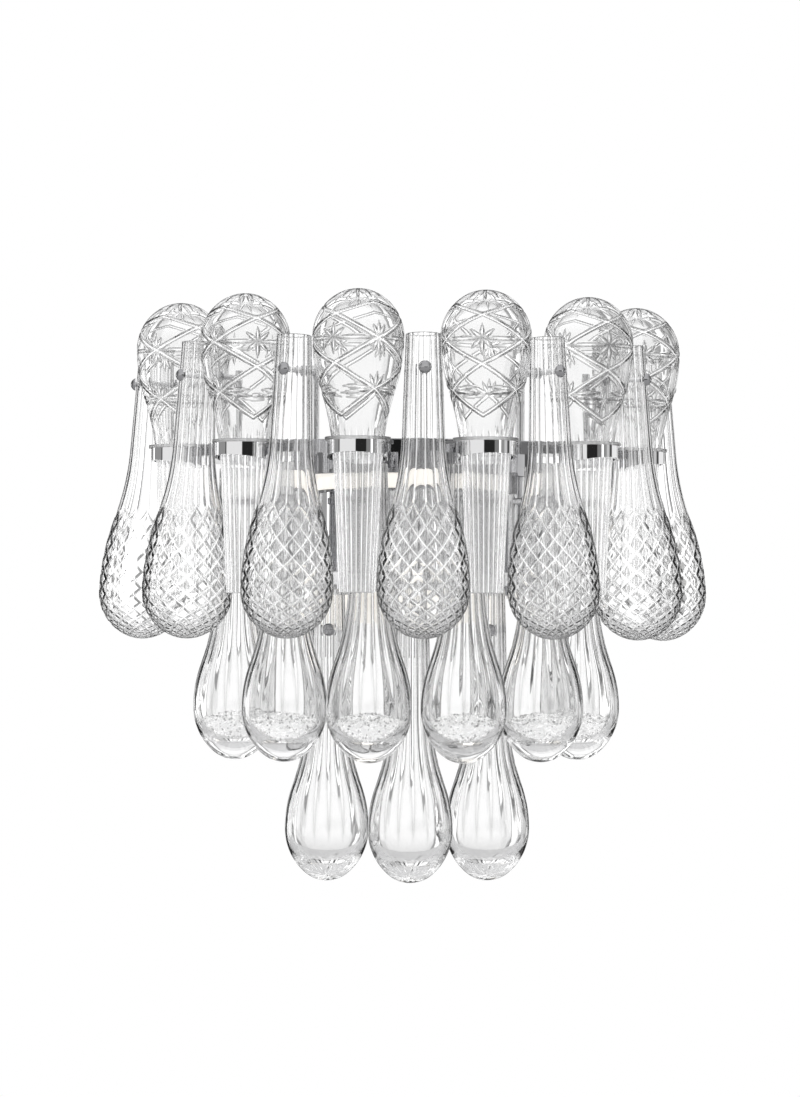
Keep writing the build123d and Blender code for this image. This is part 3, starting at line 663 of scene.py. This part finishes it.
def crystal(name, size, depth, clear, edge, ridge, painted_glint, near_only=True):
    """Clear cut glass with soft waves in its surface.

    With near_only a wall met from inside the glass, which is mostly the drop's far wall, bends light as its
    uncut curve would, so that the cuts of the near wall stand out clearly, and a wall met from inside gets
    neither the painted greys nor the glow. Clear is the grey of the clear glass itself. Edge and ridge are
    painted shade: greys that darken a V cut's borders and a ridge's sides. The glow is a painted highlight:
    emitted light along a V cut's bottom and a ridge's crest, which stands in for the light they would catch.
    """
    material, nodes, shader = principled(name, (1, 1, 1), Roughness=0.0, IOR=1.52, Transmission_Weight=1.0)
    waves = nodes.add("ShaderNodeGroup", node_tree=WAVINESS)
    nodes.put(waves, "Size", size)
    nodes.put(waves, "Depth", depth)
    normal = waves.outputs[0]
    inside = 0.0
    if near_only:
        surface = nodes.add("ShaderNodeNewGeometry").outputs
        normal = far_wall_normal(nodes, surface, normal)
        inside = surface["Backfacing"]
    nodes.put(shader, "Normal", normal)
    share = nodes.add("ShaderNodeAttribute", attribute_name="cut").outputs["Fac"]
    # painted shade: darker greys along the borders of the V cuts, and beside the ridges below
    tone_and_painted_shade = nodes.ramp(share, [(0.0, clear), (0.03, edge), (0.4, 0.5 * (edge + clear)), (0.75, 1.0)])
    ridges = nodes.add("ShaderNodeAttribute", attribute_name="ridge").outputs["Fac"]
    painted_ridge_shade = nodes.ramp(ridges, [(0.0, 1.0), (0.15, ridge), (0.4, ridge), (0.8, 1.0)])
    tone_and_painted_shade = nodes.mix(1.0, tone_and_painted_shade, painted_ridge_shade, "MULTIPLY")
    nodes.put(shader, "Base Color", nodes.mix(inside, tone_and_painted_shade, (1.0, 1.0, 1.0, 1.0)))
    # painted highlight: light emitted along the bottoms of the V cuts and the crests of the ridges
    painted_groove_glint = nodes.ramp(share, [(0.7, 0.0), (1.0, 1.0)])
    painted_crest_glint = nodes.ramp(ridges, [(0.15, 0.0), (0.85, 1.0)])
    painted_glint_lines = nodes.mix(1.0, painted_groove_glint, painted_crest_glint, "LIGHTEN")
    nodes.put(shader, "Emission Color", nodes.mix(inside, painted_glint_lines, (0.0, 0.0, 0.0, 1.0)))
    shader.inputs["Emission Strength"].default_value = painted_glint
    return material


def metal(name, colour, least, most):
    """Metal with the polish group's marks."""
    material, nodes, shader = principled(name, colour, Metallic=1.0)
    marks = nodes.add("ShaderNodeGroup", node_tree=POLISH)
    nodes.put(marks, "Least", least)
    nodes.put(marks, "Most", most)
    nodes.put(shader, "Roughness", marks.outputs[0])
    nodes.put(shader, "Normal", marks.outputs[1])
    return material


def granule_glass():
    """Crushed crystal: every chip has its own grey, and glows faintly in it: painted light that brightens the
    chips.
    """
    material, nodes, shader = principled("granule glass", (0.9, 0.9, 0.9), Roughness=0.06, IOR=1.52,
                                         Transmission_Weight=0.3)
    chance = nodes.add("ShaderNodeAttribute", attribute_name="shade").outputs["Fac"]
    grey = nodes.ramp(chance, [(0.0, 0.4), (0.15, 0.62), (0.4, 0.85), (0.6, 1.0), (1.0, 1.0)])
    nodes.put(shader, "Base Color", grey)
    # painted light: each chip also emits its own grey, though it is no lamp
    nodes.put(shader, "Emission Color", grey)
    shader.inputs["Emission Strength"].default_value = 0.25
    return material


def opal():
    """Opal plastic lit from behind, a little uneven."""
    material, nodes, shader = principled("lit opal", (0.95, 0.93, 0.9), Roughness=0.35)
    place = nodes.add("ShaderNodeTexCoord").outputs["Object"]
    cloud = nodes.add("ShaderNodeTexNoise", place)
    nodes.put(cloud, "Scale", 18.0)
    colour = nodes.ramp(cloud.outputs["Fac"], [(0.3, (1.0, 0.94, 0.84)), (0.7, (1.0, 0.98, 0.93))])
    nodes.put(shader, "Emission Color", colour)
    shader.inputs["Emission Strength"].default_value = 0.85
    return material


def moulded(name, colour, **values):
    """Moulded plastic with a fine grain."""
    material, nodes, shader = principled(name, colour, **{"Roughness": 0.45, **values})
    waves = nodes.add("ShaderNodeGroup", node_tree=WAVINESS)
    nodes.put(waves, "Size", 2500.0)
    nodes.put(waves, "Depth", 0.00003)
    nodes.put(shader, "Normal", waves.outputs[0])
    return material


LOOKS = {
    "chrome": metal("polished chrome", (0.9, 0.9, 0.905), 0.02, 0.06),
    "steel": metal("zinc plate", (0.62, 0.63, 0.64), 0.25, 0.45),
    "driver_case": moulded("driver case", (0.82, 0.82, 0.8)),
    "terminal_plastic": moulded("terminal plastic", (0.88, 0.88, 0.85)),
    "opal": opal(),
    "clear_ring": moulded("clear silicone", (0.9, 0.9, 0.9), Transmission_Weight=1.0, IOR=1.41),
    # crystal values: wave size and depth, clear glass grey, painted shade at V cut borders, painted shade beside
    # ridges, painted glint strength
    "diamond_crystal": crystal("diamond crystal", 70.0, 0.00004, 1.0, 0.85, 0.7, 0.55),
    "star_crystal": crystal("star crystal", 70.0, 0.00006, 0.92, 0.15, 1.0, 0.82, near_only=False),
    "fluted_crystal": crystal("fluted crystal", 60.0, 0.0002, 0.84, 0.8, 0.62, 0.35),
    "crystal_granules": granule_glass(),
}
# painted shade: the nuts, and the frame that stands behind the front glass, get a copy of the collars' chrome with
# a darker base colour, which stands in for the shade they sit in and the dark surroundings they mirror
PAINTED_SHADE_CHROME = metal("dark chrome", (0.46, 0.46, 0.47), 0.02, 0.06)
PAINTED_SHADE_PIECES = ("ball_nuts", "stop_nuts", "upper_tray", "upper_heat_sink", "light_rim_plate", "side_columns",
               "column_nuts")
slot_of = {part["node"]: part["material_slot"] for part in frame["record"]["subparts"]}
for node_name, node in frame["nodes"].items():
    for place in node.material_slots:
        place.material = PAINTED_SHADE_CHROME if node_name in PAINTED_SHADE_PIECES else LOOKS[slot_of[node_name]]


# ---------------------------------------------------------------- drops
def add_mark(piece, name, values):
    """Give every point of a piece a number that its material reads by name."""
    piece.data.attributes.new(name, "FLOAT", "POINT").data.foreach_set("value", values.astype(np.float32))


def dress(name, points, faces, normals, marks, turn, body, node, slot, sharp=None):
    """Piece in a drop's frame turned into place, on its body, in place of its node."""
    rotation = np.array(turn.to_3x3().transposed())
    placed = np.asarray(points) @ rotation + np.array(turn.translation)
    piece = new_piece(name, placed, faces, LOOKS[slot], sharp=sharp)
    if normals is not None:
        uncut = piece.data.attributes.new("uncut", "FLOAT_VECTOR", "POINT")
        uncut.data.foreach_set("vector", (normals @ rotation).astype(np.float32).ravel())
        add_mark(piece, "cut", marks[:, 0])
        add_mark(piece, "ridge", marks[:, 1])
    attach(piece, body)
    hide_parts(node)
    return piece


def hanging_frame(joint, lean, below_end):
    """Frame of a hanging drop from its joint: origin at the bulb's tip, x outwards, z up the axis."""
    aim = Vector(joint["axis"])
    up = Vector((0, 0, 1)) * cos(lean) - aim * sin(lean)
    outwards = (aim - up * aim.dot(up)).normalized()
    origin = Vector(joint["pos_m"]) - up * (DROP_LENGTH - below_end)
    turn = Matrix((outwards, up.cross(outwards), up)).transposed().to_4x4()
    turn.translation = origin
    return turn


def upright_frame(node, bearing):
    """Frame of an upright drop: origin at the top of the bulb, z down, x on a plain column of its pattern.

    The bearing of that column is counted from straight ahead to the right.
    """
    low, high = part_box(node)
    middle = (low + high) / 2
    x = Vector((sin(bearing), -cos(bearing), 0))
    z = Vector((0, 0, -1))
    turn = Matrix((x, z.cross(x), z)).transposed().to_4x4()
    turn.translation = Vector((middle.x, middle.y, high.z))
    return turn


INNER_NECK_START = 0.12
STAR_COLUMNS = 318
STAR_NECK_START = 0.118
FLUTED_COLUMNS = 126
FLUTED_SIDE_START = 0.024
FLUTED_SIDE_END = 0.09


def inner_rows(shape, hole, pitch):
    """Runs of the inner wall from the mouth to its tip."""
    inner = Outline(shape, BULB_WALL, NECK_WALL, shape["base"])
    neck = inner.run_at_height(INNER_NECK_START)
    return np.concatenate([tip_rows(neck, 26), neck_rows(inner, neck, hole, pitch, 8)[1:]])[::-1]


def diamond_drop():
    """Shell of a diamond-cut drop; on the bulb its rows and columns follow the lattice's cells."""
    outline = Outline(DIAMOND)
    hole = RodHole(UPPER_HOLE_BELOW_END, DIAMOND_LEAN, 6)
    first = lattice_run(LATTICE_FIRST)
    cells = LATTICE_FIRST + np.arange((LATTICE_LAST + 0.5 - LATTICE_FIRST) * CELL_STEPS + 1) / CELL_STEPS
    lattice = lattice_run(cells)
    outer = np.concatenate([tip_rows(first, 7)[:-1], lattice,
                            neck_rows(outline, lattice[-1], hole, 0.00038, 16)[1:]])
    return glass_shell(DIAMOND, LATTICE_CELLS * CELL_STEPS, outer, inner_rows(DIAMOND, hole, 0.0003),
                       lattice_depth, hole=hole)


def star_drop():
    """Shell of a star-cut drop."""
    outline = STAR_OUTLINE
    last = outline.run_at_height(STAR_LAST)
    neck = outline.run_at_height(STAR_NECK_START)
    outer = np.concatenate([tip_rows(last, 138), np.linspace(last, neck, 14)[1:],
                            np.linspace(neck, outline.edge, 6)[1:]])
    return glass_shell(STAR, STAR_COLUMNS, outer, inner_rows(STAR, None, 0), star_depth)


def fluted_drop(below_end, inner_depth=None):
    """Shell of a fluted drop, its base plain inside or with a pattern."""
    outline = FLUTED_OUTLINE
    hole = RodHole(below_end, 0.0, 5)
    start = outline.run_at_height(FLUTED_SIDE_START)
    ending = outline.run_at_height(FLUTED_SIDE_END)
    outer = np.concatenate([tip_rows(start, 16), np.linspace(start, ending, 36)[1:],
                            neck_rows(outline, ending, hole, 0.00045, 8)[1:]])
    inner = inner_rows(FLUTED, hole, 0.00036)
    return glass_shell(FLUTED, FLUTED_COLUMNS, outer, inner, fluted_depth, inner_depth, hole)


SHARP = radians(20)
diamond = diamond_drop()
for number in range(1, 8):
    name = f"diamond_drop_{number}"
    place = hanging_frame(joints[f"{name}_swing"], DIAMOND_LEAN, UPPER_HOLE_BELOW_END)
    dress(f"cut_{name}", *diamond, place, name, name, "diamond_crystal", sharp=SHARP)

# each upright drop was set in its collar with its plain column at some bearing, here in degrees
PLAIN_COLUMN_BEARINGS = (24.5275, 14.4897, -36.3394, -10.4114, 20.9326, 3.1662)
star = star_drop()
for number, bearing in enumerate(PLAIN_COLUMN_BEARINGS, 1):
    name = f"star_drop_{number}"
    dress(f"cut_{name}", *star, upright_frame(name, radians(bearing)), name, name, "star_crystal")

for row, count, below_end, base_pattern in (("mid_drop", 6, UPPER_HOLE_BELOW_END, None),
                                            ("low_drop", 3, LOW_HOLE_BELOW_END, burst_depth)):
    fluted = fluted_drop(below_end, base_pattern)
    for number in range(1, count + 1):
        name = f"{row}_{number}"
        place = hanging_frame(joints[f"{name}_swing"], 0.0, below_end)
        dress(f"cut_{name}", *fluted, place, name, name, "fluted_crystal", sharp=SHARP)


# ---------------------------------------------------------------- granules
CHIP_CORNERS = np.array([[1, 0, 0], [-1, 0, 0], [0, 1, 0], [0, -1, 0], [0, 0, 1], [0, 0, -1]], float)
CHIP_FACES = np.array([[0, 2, 4], [2, 1, 4], [1, 3, 4], [3, 0, 4],
                       [2, 0, 5], [1, 2, 5], [3, 1, 5], [0, 3, 5]])
CHIP_COUNT = 1400
CHIP_TO_GLASS = 0.0003
HEAP_TOP = 0.0343
HEAP_FALL = 0.0065
HEAP_RADIUS = 0.0245
CORE_COLUMNS = 48


def heap_height(top, reach):
    """Height of the heap's surface: it falls with the square of the distance from the axis."""
    return top - HEAP_FALL * (reach / HEAP_RADIUS) ** 2


def granules(count, top, gap):
    """Points, faces and greys of chips heaped in the bulb: octahedra of random turns and proportions.

    Their centres lie just under the surface of the bed, which is the inner outline moved in by the gap and
    cut off by the heap's surface; every fourth one lies under the heap's surface. Each chip has one grey.
    """
    inner = Outline(FLUTED, BULB_WALL, NECK_WALL, FLUTED["base"])
    run = seed.uniform(0.0, 1.0, count * 3)
    limit = inner.run_at_height(top)
    radius, height, heading = inner.at(run**0.6 * limit)
    turn = seed.uniform(0, 2 * pi, count * 3)
    inset = gap + seed.uniform(0.0008, 0.0045, count * 3)
    on_top = np.arange(count * 3) % 4 == 0
    level = np.sqrt(seed.uniform(0, 1, count * 3)) * (inner.at(limit)[0] - gap - 0.0012)
    heap = heap_height(top, level) - seed.uniform(0.0014, 0.0026, count * 3)
    reach = np.where(on_top, level, np.maximum(radius - inset * np.sin(heading), 0))
    rise = np.where(on_top, heap, height + inset * np.cos(heading))
    keep = rise < heap_height(top, reach) - 0.0012
    centres = np.stack([reach * np.cos(turn), reach * np.sin(turn), rise], axis=-1)[keep][:count]
    spin = seed.normal(size=(len(centres), 3, 3))
    axes = np.linalg.qr(spin)[0]
    length = seed.uniform(0.0009, 0.0017, (len(centres), 1, 1))
    size = length * seed.uniform(0.35, 0.8, (len(centres), 1, 3))
    corners = ((CHIP_CORNERS * size) @ axes + centres[:, None]).reshape(-1, 3)
    faces = (CHIP_FACES + 6 * np.arange(len(centres))[:, None, None]).reshape(-1, 3)
    shade = np.repeat(seed.uniform(0, 1, len(centres)), 6)
    core, core_faces = granule_core(inner, limit, gap)
    shade = np.append(shade, np.full(len(core), 0.6))
    return np.vstack([corners, core]), [faces, core_faces + len(corners)], shade


def granule_core(inner, limit, gap):
    """Closed rough body under the chips: the inner outline moved in, with a domed top and random bumps."""
    radius, height, heading = inner.at(np.linspace(0.0, limit, 22)[1:])
    inset = gap + 0.0024
    moved_in = np.maximum(radius - inset * np.sin(heading), 0.0004)
    side = np.stack([moved_in, height + inset * np.cos(heading)], axis=1)
    side = side[side[:, 1] < heap_height(side[:, 1].max(), side[:, 0]) - 0.002]
    rim, rim_height = side[-1]
    across = rim * np.linspace(1, 0, 10)[1:-1]
    dome = rim_height + HEAP_FALL * (rim**2 - across**2) / HEAP_RADIUS**2
    profile = np.vstack([side, np.stack([across, dome], axis=1)])
    turn = np.arange(CORE_COLUMNS) * 2 * pi / CORE_COLUMNS
    reach = profile[:, 0, None] * (1 + 0.03 * seed.normal(size=(len(profile), CORE_COLUMNS)))
    rise = profile[:, 1, None] + 0.0002 * seed.normal(size=(len(profile), CORE_COLUMNS))
    points = np.stack([reach * np.cos(turn), reach * np.sin(turn), rise], axis=-1).reshape(-1, 3)
    quads = ring_faces(len(profile), CORE_COLUMNS).reshape(-1, 4)
    faces = np.concatenate([quads[:, :3], quads[:, [0, 2, 3]]] + end_fans(len(points), CORE_COLUMNS))
    return np.vstack([points, [0, 0, profile[0, 1]], [0, 0, profile[-1, 1]]]), faces


for number in range(1, 7):
    place = hanging_frame(joints[f"mid_drop_{number}_swing"], 0.0, UPPER_HOLE_BELOW_END)
    chips, chip_faces, shade = granules(CHIP_COUNT, HEAP_TOP, CHIP_TO_GLASS)
    piece = dress(f"granules_{number}", chips, chip_faces, None, None, place, f"mid_drop_{number}",
                  f"granule_bed_{number}", "crystal_granules", sharp=0.0)
    add_mark(piece, "shade", shade)

# ---------------------------------------------------------------- threaded rods
ROD_RADIUS = 0.002
THREAD_DEPTH = 0.0004
THREAD_PITCH = 0.00125
THREAD_COLUMNS = 10
THREAD_STEPS = 6


def threaded_rod(start, end):
    """Points and faces of a rod between two points: its radius falls in a V once a turn along a helix."""
    aim = (end - start).normalized()
    length = (end - start).length
    rows = int(length / THREAD_PITCH * THREAD_STEPS) + 1
    turns = np.arange(THREAD_COLUMNS) * 2 * pi / THREAD_COLUMNS
    along, turn = np.meshgrid(np.linspace(0, length, rows), turns, indexing="ij")
    phase = np.mod(along / THREAD_PITCH + turn / (2 * pi), 1)
    radius = ROD_RADIUS - THREAD_DEPTH * (1 - np.abs(2 * phase - 1))
    side = np.array(aim.cross(Vector((0, 0, 1))).normalized())
    up = np.cross(side, aim)
    round_axis = (radius * np.cos(turn))[..., None] * side + (radius * np.sin(turn))[..., None] * up
    points = (np.array(start) + along[..., None] * np.array(aim) + round_axis).reshape(-1, 3)
    faces = [ring_faces(rows, THREAD_COLUMNS).reshape(-1, 4)] + end_fans(len(points), THREAD_COLUMNS)
    return np.vstack([points, np.array(start), np.array(end)]), faces


POST_RADIUS = 0.003
# row, drops in it, post axis to neck axis, neck axis to the rod's end in its ball nut
ROWS_OF_RODS = (("diamond_drop", 7, 0.0315884, 0.014916), ("mid_drop", 6, 0.0252, 0.014454),
                ("low_drop", 3, 0.02, 0.014602))
END_SHIFT = 0.0063
rod_points, rod_quads, rod_ends, points_before = [], [], [], 0
for row, count, behind, ahead in ROWS_OF_RODS:
    for number in range(1, count + 1):
        joint = joints[f"{row}_{number}_swing"]
        aim = Vector(joint["axis"])
        neck = Vector(joint["pos_m"])
        shift = END_SHIFT if row == "diamond_drop" and number in (1, count) else 0
        points, faces = threaded_rod(neck - aim * (behind + shift + POST_RADIUS), neck + aim * ahead)
        rod_points.append(points)
        rod_quads.append(faces[0] + points_before)
        rod_ends += [faces[1] + points_before, faces[2] + points_before]
        points_before += len(points)
rod_faces = [np.concatenate(rod_quads), np.concatenate(rod_ends)]
thread = new_piece("threaded_rods", np.vstack(rod_points), rod_faces, LOOKS["chrome"], sharp=SHARP)
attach(thread, "root")
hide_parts("hanging_rods")

# ---------------------------------------------------------------- studio
world = bpy.data.worlds.new("studio")
world.use_nodes = True
bpy.context.scene.world = world
sky = Nodes(world.node_tree)
background = world.node_tree.nodes["Background"]
direction = sky.add("ShaderNodeSeparateXYZ", sky.add("ShaderNodeTexCoord").outputs["Generated"]).outputs
azimuth = sky.math("ARCTAN2", direction[1], direction[0])
# what clear glass shows: pale walls with dark upright bars, eight times round, dimmer to the right
eighth = sky.math("FRACT", sky.math("MULTIPLY_ADD", azimuth, 4 / pi, 0.2))
through = sky.ramp(eighth, stepped((0, 1.2), (13, 1.0), (17, 0.3), (20, 1.8), (28, 0.05), (32, 0.8),
                                   (35, 1.8), (40, 0.4), (42.5, 1.1), whole=45))
storey = sky.math("MULTIPLY_ADD", direction[2], 0.5, 0.5)
ceiling = sky.ramp(storey, [(0.0, 1.0), (0.33, 0.8), (0.44, 1.02), (0.5, 1.05), (0.56, 0.93), (0.62, 1.15),
                            (0.7, 0.6), (0.76, 1.1), (1.0, 1.0)])
through = sky.mix(1.0, through, ceiling, "MULTIPLY")
right = sky.ramp(direction[0], [(0.0, 1.0), (0.26, 1.0), (0.32, 0.5), (0.75, 0.5), (0.85, 1.0)])
through = sky.mix(1.0, through, right, "MULTIPLY")
# what polished metal shows: a room of dark and light panels, in degrees round
whole = sky.math("FRACT", sky.math("MULTIPLY_ADD", azimuth, 0.5 / pi, 0.25))
mirrored = sky.ramp(whole, stepped((0, 0.02), (29, 0.22), (47, 2.2), (54, 0.3), (70, 0.6), (84, 0.08),
                                   (97, 0.9), (140, 0.12), (152, 0.75), (196, 0.05), (210, 0.35), (228, 2.2),
                                   (236, 0.3), (279, 0.02), (284, 0.85), (348, 0.02), whole=360))
# light that leaves the glass towards the front comes from a mirror or a facet behind it
frontal = sky.math("MULTIPLY", sky.math("LESS_THAN", direction[1], -0.15), 0.85)
# above and below the bars a soft light in front fades to a dark room behind, which rounds off the ball nuts
behind = sky.math("MULTIPLY_ADD", direction[1], 0.5, 0.5)
softbox = sky.ramp(behind, [(0.0, 0.95), (0.3, 0.75), (0.5, 0.3), (0.7, 0.1), (1.0, 0.1)])
off_level = sky.ramp(sky.math("ABSOLUTE", direction[2]), [(0.0, 0.0), (0.1, 0.0), (0.16, 1.0), (1.0, 1.0)])
mirrored = sky.mix(off_level, mirrored, softbox)
overhead = sky.ramp(direction[2], [(0.0, 0.0), (0.55, 0.0), (0.8, 1.0), (1.0, 1.0)])
mirrored = sky.mix(overhead, mirrored, (0.85, 0.85, 0.86, 1.0))
underfoot = sky.ramp(storey, [(0.0, 0.12), (0.2, 0.2), (0.45, 1.0)])
mirrored = sky.mix(1.0, mirrored, underfoot, "MULTIPLY")
rays = sky.add("ShaderNodeLightPath").outputs
seen = sky.mix(rays["Is Glossy Ray"], (0.75, 0.75, 0.76, 1.0), mirrored)
seen = sky.mix(rays["Is Transmission Ray"], seen, sky.mix(frontal, through, mirrored))
seen = sky.mix(rays["Is Camera Ray"], seen, (1.0, 1.0, 1.0, 1.0))
sky.put(background, "Color", seen)
background.inputs["Strength"].default_value = 1.0

floor_mesh = bpy.data.meshes.new("floor")
floor_corners = [(-3, -4, -0.5), (3, -4, -0.5), (3, 0.65, -0.5), (-3, 0.65, -0.5)]
floor_mesh.from_pydata(floor_corners, [], [(0, 1, 2, 3)])
floor = bpy.data.objects.new("floor", floor_mesh)
bpy.context.scene.collection.objects.link(floor)
floor_look, floor_nodes, floor_shader = principled("studio floor", (0.5, 0.5, 0.5), Roughness=0.9,
                                                   Emission_Strength=0.62)
floor_rays = floor_nodes.add("ShaderNodeLightPath").outputs
floor_light = floor_nodes.mix(floor_rays["Is Glossy Ray"], (1.0, 1.0, 1.0, 1.0), (0.1, 0.1, 0.1, 1.0))
floor_light = floor_nodes.mix(floor_rays["Is Transmission Ray"], floor_light, (0.5, 0.5, 0.5, 1.0))
floor_nodes.put(floor_shader, "Emission Color", floor_light)
floor_mesh.materials.append(floor_look)


def soft_light(name, place, target, size, power):
    """Large square light that no mirror or glass shows."""
    lamp = bpy.data.lights.new(name, "AREA")
    lamp.size = size
    lamp.energy = power
    light = bpy.data.objects.new(name, lamp)
    light.location = place
    light.rotation_euler = (Vector(target) - Vector(place)).to_track_quat("-Z", "Y").to_euler()
    light.visible_camera = light.visible_glossy = light.visible_transmission = False
    bpy.context.scene.collection.objects.link(light)


soft_light("key", (-1.4, -2.0, 1.6), (0, -0.12, 0), 1.2, 18)
soft_light("fill", (1.8, -1.6, 0.4), (0, -0.12, 0), 1.5, 8)

# ---------------------------------------------------------------- camera
lens = bpy.data.cameras.new("camera")
lens.sensor_fit = "AUTO"
lens.sensor_width = SENSOR
lens.lens = FOCAL_PIXELS / PHOTO_HEIGHT * SENSOR
lens.clip_start = 0.05
camera = bpy.data.objects.new("camera", lens)
turned = Matrix.Rotation(-CAMERA_TURN, 4, "Z") @ Matrix.Rotation(pi / 2 + CAMERA_RISE, 4, "X")
camera.matrix_world = Matrix.Translation(CAMERA_PLACE) @ turned @ Matrix.Rotation(CAMERA_ROLL, 4, "Z")
bpy.context.scene.collection.objects.link(camera)
scene = bpy.context.scene
scene.camera = camera
scene.view_settings.view_transform = "Standard"
scene.cycles.max_bounces = 32
scene.cycles.transmission_bounces = 32
scene.cycles.glossy_bounces = 8
